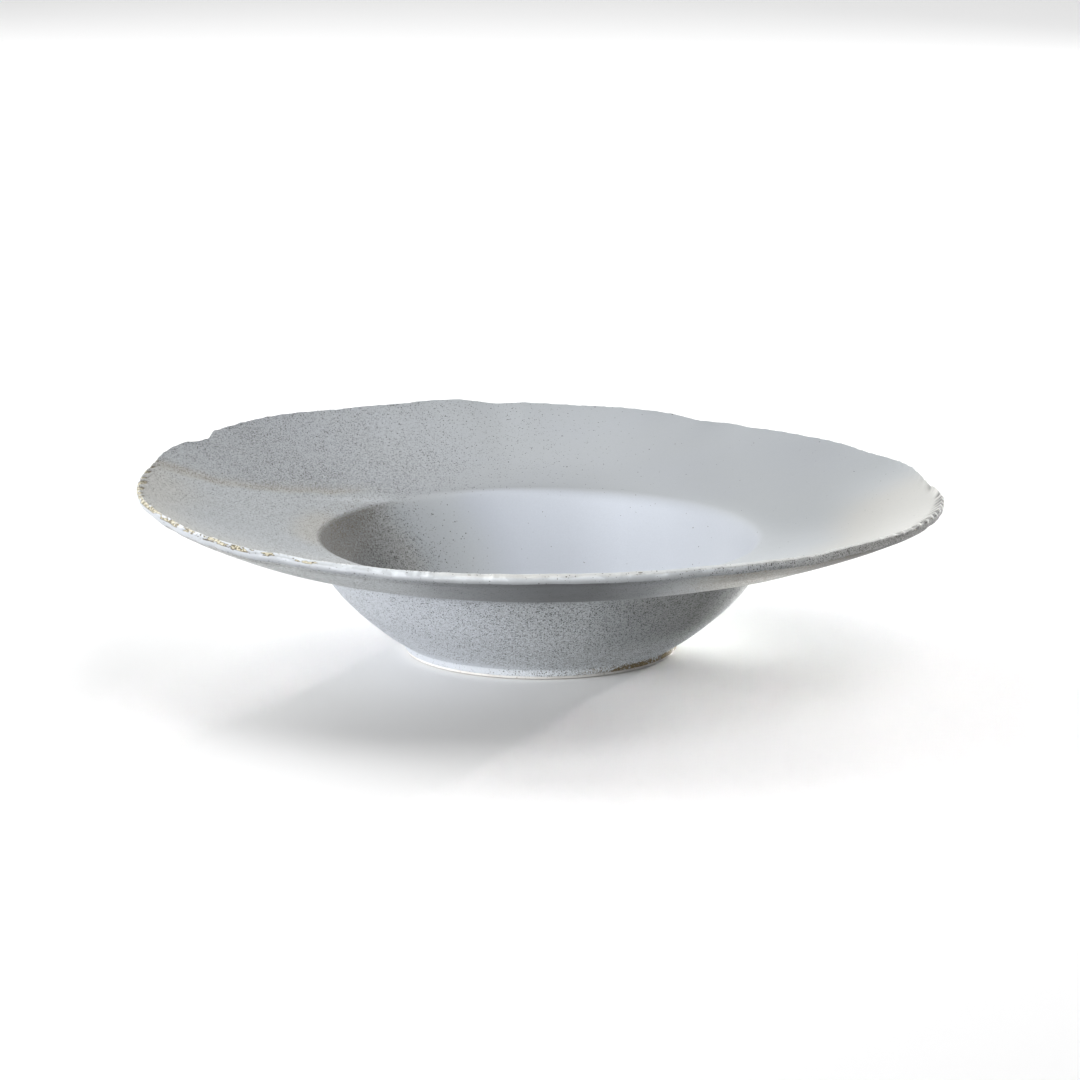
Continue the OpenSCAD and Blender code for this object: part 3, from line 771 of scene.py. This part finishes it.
# stations on the eating side, from the lip inwards: path length and points round
top_fine = [(s, N) for s in spaced(top_len, top_len - 5, 0.2, 0.55)]
top_near = [(s, N // 2) for s in spaced(top_len - 5, top_len - 12, 0.7, 1.1)[1:]]
top_mid = [(s, N // 4) for s in spaced(top_len - 12, top_len - 66, 1.3, 1.5)[1:]]
top_well = [(s, N // 4) for s in spaced(top_len - 66, 26, 1.2, 2.2)[1:]]
top_core = [(22, N // 8), (18, N // 8), (14, N // 16), (10, N // 16), (6, N // 32), (3, N // 32)]
top_out = (top_fine + top_near + top_mid + top_well + top_core)[::-1]
k = top_in_len / top_len
top_back = [(s * k, n) for s, n in [(top_len, N), (top_len - 0.5, N), (top_len - 1.0, N), (top_len - 1.8, N // 2), (top_len - 3.0, N // 2), (top_len - 5.0, N // 4)]
            + [(s, N // 8) for s in spaced(top_len - 8, 26, 3.0, 3.0)] + [(20, N // 16), (13, N // 16), (6, N // 32)]]

lip_out = [(s, N) for s in np.concatenate([spaced(0, lip_len * 0.5, 0.14, 0.22), spaced(lip_len * 0.5, lip_len, 0.22, 0.18)[1:]])]
lip_back = [(s * lip_in_len / lip_len, N) for s in spaced(0, lip_len, 0.50, 0.50)]

low_fine = [(s, N) for s in spaced(0, 4.5, 0.25, 0.55)]
low_near = [(s, N // 2) for s in spaced(4.5, 9, 0.8, 1.1)[1:]]
low_mid = [(s, N // 4) for s in spaced(9, 68, 1.3, 1.5)[1:]]
low_bowl = [(s, N // 4) for s in spaced(68, low_len - 5, 0.9, 1.4)[1:]]
low_foot = [(s, N // 4) for s in spaced(low_len - 5, low_len, 0.5, 0.18)[1:]]
low_out = low_fine + low_near + low_mid + low_bowl + low_foot
kl = low_in_len / low_len
low_back = [(s * kl, n) for s, n in [(0, N), (0.6, N), (1.4, N), (2.6, N // 2), (4.5, N // 2), (6.0, N // 4)] + [(s, N // 8) for s in spaced(8.5, low_len - 9.5, 3.0, 2.2)] + [(low_len - 7.5, N // 4)]]


def rings_of(path, stations, inset, side, lip=0.0, face=False, run=None, rim=False):
    out = []
    for s, n in stations:
        r0, z0 = at_length(path, s)
        across = min(1.0, s / lengths(path)[-1]) if face else None
        pts, over, scoop = shape(float(r0), float(z0), n, inset, across, rim)
        out.append((pts, side, {"over": over, "scoop": scoop, "lip": lip, "run": 0.0 if run is None else run(s), "across": across or 0.0}))
    return out


upper_top = rings_of(TOP, top_out, 0.0, 0, lip=1.0, rim=True)
upper_bot = rings_of(TOP_IN, top_back, GLAZE, 1, rim=True)
edge_face = rings_of(LIP, lip_out, 0.0, 0, face=True, run=lambda s: 0.62 * s / lip_len)
edge_back = rings_of(LIP_IN, lip_back, GLAZE * 0.6, 1, face=True, run=lambda s: 1.0 - 0.34 * s / lip_in_len)
lower_face = rings_of(LOW, low_out, 0.0, 0, lip=1.0)
lower_back = rings_of(LOW_IN, low_back, GLAZE, 1)
# the clay and the coats share their hidden rings; at the lip's corners all three meet in one ring
edge_back[0] = upper_bot[0]
edge_back[-1] = lower_back[0]
apex = lambda z: (np.array([[0.0, 0.0, z]]))

upper = Shell()
upper.ring(apex(FLOOR_Z), 0)
for p, s, f in upper_top:
    upper.ring(p, s, **f)
for p, s, f in upper_bot:
    upper.ring(p, s, **f)
upper.ring(apex(FLOOR_Z - GLAZE), 1)
upper.build(False)

edge = Shell()
for p, s, f in edge_face:
    edge.ring(p, s, **f)
for p, s, f in edge_back[::-1]:
    edge.ring(p, s, **{**f, "run": f.get("run", 0.7) or 0.7})
edge.build(True)


def foot_out(z):
    top, low = FOOT_R + 0.1 - GLAZE, FOOT_R - 0.75
    return low + (top - low) * (z - 0.5) / (FOOT_H - 0.5)


def foot_in(z):
    return FOOT_R - FOOT_W + 0.8 * (FOOT_H - z) / (FOOT_H - 0.6)


def plain_ring(r, z, n, wave=0.0, seed=0):
    t = Turn(n)
    w = wave * octaves(t.c * 7, t.s * 7, z * 0.2, seed, 3) if wave else 0.0
    return np.stack([r * t.c, r * t.s, np.full(n, z) + w], 1)


Q = N // 4
lower = Shell()
for p, s, f in lower_face:
    lower.ring(p, s, **f)
# the coat's rounded end above the bare band, then back up the clay
for out, z in [(0.32, 1.24), (0.20, 1.13), (0.09, 1.12)]:
    lower.ring(plain_ring(foot_out(1.2) + out, z, Q, 0.05, 7), 0)
foot_seam = [plain_ring(foot_out(1.2), 1.2, Q), plain_ring(foot_out(2.4), 2.4, Q), plain_ring(foot_out(FOOT_H), FOOT_H, Q)]
for p in foot_seam:
    lower.ring(p, 1)
for p, s, f in lower_back[::-1]:
    lower.ring(p, s, **f)
lower.build(True)

clay = Shell()
clay.ring(apex(FLOOR_Z - GLAZE), 1)
for p, s, f in upper_bot[::-1]:
    clay.ring(p, s, **f)
for p, s, f in edge_back[1:-1]:
    clay.ring(p, s, **f)
for p, s, f in lower_back:
    clay.ring(p, s, **f)
clay.ring(foot_seam[-1], 1)
clay.ring(plain_ring(FOOT_R - FOOT_W, FOOT_H, Q), 1)
clay.ring(plain_ring(20, FOOT_H, Q // 2), 1)
clay.ring(apex(FOOT_H), 1)
clay.build(False)

# foot ring: rounded standing face and a slightly uneven ground edge
sole_out, sole_in = FOOT_R - 1.6, FOOT_R - FOOT_W + 1.9
foot_prof = through([[foot_out(FOOT_H), FOOT_H], [foot_out(2.8), 2.8], [foot_out(1.8), 1.8], [foot_out(1.0), 1.0], [foot_out(0.55), 0.55], [sole_out + 0.72, 0.24], [sole_out + 0.43, 0.07], [sole_out, 0.0]], 0.03)
foot_sole = np.stack([np.linspace(sole_out, sole_in, 7), np.zeros(7)], 1)
foot_back = through([[sole_in, 0.0], [sole_in - 0.35, 0.04], [sole_in - 0.70, 0.2], [foot_in(0.6), 0.6], [foot_in(1.2), 1.2], [foot_in(2.2), 2.2], [foot_in(3.2), 3.2], [foot_in(FOOT_H), FOOT_H]], 0.03)
ring = Shell()
prof = [at_length(foot_prof, s) for s in spaced(0, lengths(foot_prof)[-1], 0.35, 0.12)] + list(foot_sole[1:-1]) + [at_length(foot_back, s) for s in spaced(0, lengths(foot_back)[-1], 0.14, 0.35)]
for r, z in prof:
    t = Turn(Q)
    nick = 0.05 * ease(0.0, 0.25, z) * ease(1.1, 0.5, z) * octaves(t.c * 60, t.s * 60, z * 2, 15, 3, 0.6)
    ring.ring(np.stack([(r + nick) * t.c, (r + nick) * t.s, np.full(Q, z)], 1), 0)
ring.ring(plain_ring(FOOT_R - 3.5, FOOT_H, Q), 0)
ring.build(True)

# coat in the sunk base: a flat disc that curves down the ring's inner wall and ends in a soft bead
wall_top, wall_low = foot_in(FOOT_H), BARE_H + 0.4
base = Shell()
base.ring(apex(FOOT_H), 1)
base.ring(plain_ring(20, FOOT_H, Q // 2), 1)
base.ring(plain_ring(wall_top, FOOT_H, Q), 1)
base.ring(plain_ring(foot_in(2.8), 2.8, Q), 1)
base.ring(plain_ring(foot_in(wall_low), wall_low, Q), 1)
cove = through([[foot_in(wall_low) - 0.05, wall_low - 0.05], [foot_in(wall_low) - 0.20, wall_low + 0.02], [foot_in(2.3) - 0.24, 2.3], [foot_in(2.9) - 0.42, 2.95], [wall_top - 0.6, 3.33], [wall_top - 1.6, 3.48], [wall_top - 3.0, FOOT_H - GLAZE]], 0.05)
for s in spaced(0, lengths(cove)[-1], 0.12, 0.45):
    r, z = at_length(cove, s)
    base.ring(plain_ring(r, z, Q), 0)
for r, n in [(33, Q), (29, Q), (25, Q), (21, Q // 2), (17, Q // 2), (13, Q // 2), (9, Q // 4), (5, Q // 8), (2.5, Q // 8)]:
    base.ring(plain_ring(r, FOOT_H - GLAZE, n, 0.05, 21), 0)
base.ring(apex(FOOT_H - GLAZE), 0)
base.build(False)

n_upper, n_edge, n_lower = share_seams(upper, edge, lower)

ob_upper = make("upper_glaze_coat", upper, n_upper, flat_map(upper.verts, upper.faces, upper.face_side), paint_upper(upper), MAT_UPPER)
ob_edge = make("edge_glaze_coat", edge, n_edge, strip_map(edge), paint_edge(edge), MAT_EDGE)
ob_lower = make("lower_glaze_coat", lower, n_lower, flat_map(lower.verts, lower.faces, lower.face_side), paint_lower(lower), MAT_LOWER)
ob_clay = make("stoneware_body", clay, None, flat_map(clay.verts, clay.faces, clay.face_side * 0), {}, MAT_CLAY)
ob_ring = make("turned_foot_ring", ring, None, flat_map(ring.verts, ring.faces, ring.face_side, 51.0), {}, MAT_FOOT)
ob_base = make("base_glaze_coat", base, None, flat_map(base.verts, base.faces, base.face_side, 42.0), paint_base(base), MAT_BASE)

for ob, node, slot in [
        (ob_upper, "upper_glaze", "glaze_upper"), (ob_edge, "edge_glaze", "glaze_edge"), (ob_lower, "lower_glaze", "glaze_lower"),
        (ob_clay, "clay_body", "clay"), (ob_ring, "foot_ring", "bare_foot"), (ob_base, "base_glaze", "glaze_base")]:
    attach(ob, "root")
    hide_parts(node)

# ------------------------------------------------------------------ floor, light, camera
floor_me = bpy.data.meshes.new("floor")
floor_me.from_pydata([(-9, -9, -0.0002), (9, -9, -0.0002), (9, 9, -0.0002), (-9, 9, -0.0002)], [], [(0, 1, 2, 3)])
fm = Nodes("floor_paper")
fm.put(fm.bsdf.inputs["Base Color"], fm.mix(fm.noise(0.004, 3.0), (0.90, 0.90, 0.90), (0.92, 0.92, 0.92)))
fm.bsdf.inputs["Roughness"].default_value = 0.9
fm.bsdf.inputs["Specular IOR Level"].default_value = 0.1
floor_me.materials.append(fm.mat)
floor = bpy.data.objects.new("floor", floor_me)
bpy.context.collection.objects.link(floor)


def softbox(name, where, target, size, power, colour=(1, 1, 1), spread=math.pi):
    d = bpy.data.lights.new(name, "AREA")
    d.shape = "RECTANGLE"
    d.size, d.size_y = size
    d.energy = power
    d.color = colour
    d.spread = spread
    ob = bpy.data.objects.new(name, d)
    ob.location = where
    ob.rotation_euler = (Vector(target) - Vector(where)).to_track_quat("-Z", "Y").to_euler()
    bpy.context.collection.objects.link(ob)
    return ob


def round_at(az, el, dist):
    a, e = math.radians(az), math.radians(el)
    return (dist * math.cos(e) * math.cos(a), dist * math.cos(e) * math.sin(a), 0.03 + dist * math.sin(e))


softbox("front_left", round_at(222, 14, 1.6), (0, 0, 0.04), (0.9, 0.6), 18.0)
softbox("left_low", round_at(198, 10, 1.5), (0, 0, 0.04), (0.9, 0.4), 10.0)
softbox("back_left", round_at(128, 30, 1.6), (0, 0, 0.04), (1.0, 1.0), 16.0)
softbox("back_right", round_at(60, 20, 1.6), (0, 0, 0.04), (0.9, 0.6), 7.0)
softbox("right", round_at(5, 35, 1.6), (0, 0, 0.04), (1.0, 1.0), 7.5)
softbox("right_high", round_at(0, 68, 1.8), (0, 0, 0.04), (1.2, 1.0), 9.0)
softbox("right_floor", (0.31, 0.54, 0.022), (0.06, 0.0, 0.016), (0.30, 0.03), 0.22, (1.0, 0.98, 0.93), math.radians(7))
softbox("backdrop", (0.0, 2.2, 2.0), (0, 2.2, 0), (3.0, 2.0), 32.0)

scene = bpy.context.scene
world = bpy.data.worlds.new("studio")
scene.world = world
world.use_nodes = True
bg = world.node_tree.nodes.get("Background")
bg.inputs["Color"].default_value = (1.0, 1.0, 1.0, 1.0)
bg.inputs["Strength"].default_value = 0.12
scene.view_settings.view_transform = "Standard"
scene.view_settings.look = "None"
scene.view_settings.exposure = 0.0
scene.view_settings.gamma = 1.0

elev = math.radians(12.78)
cam_data = bpy.data.cameras.new("camera")
cam_data.lens = 185.7
cam_data.sensor_width = 36.0
cam_data.clip_end = 50.0
cam = bpy.data.objects.new("camera", cam_data)
cam.location = (0.0, -2.0 * math.cos(elev), 0.030 + 2.0 * math.sin(elev))
cam.rotation_euler = (Vector((-0.00025, 0.0, 0.0395)) - cam.location).to_track_quat("-Z", "Y").to_euler()
bpy.context.collection.objects.link(cam)
scene.camera = cam
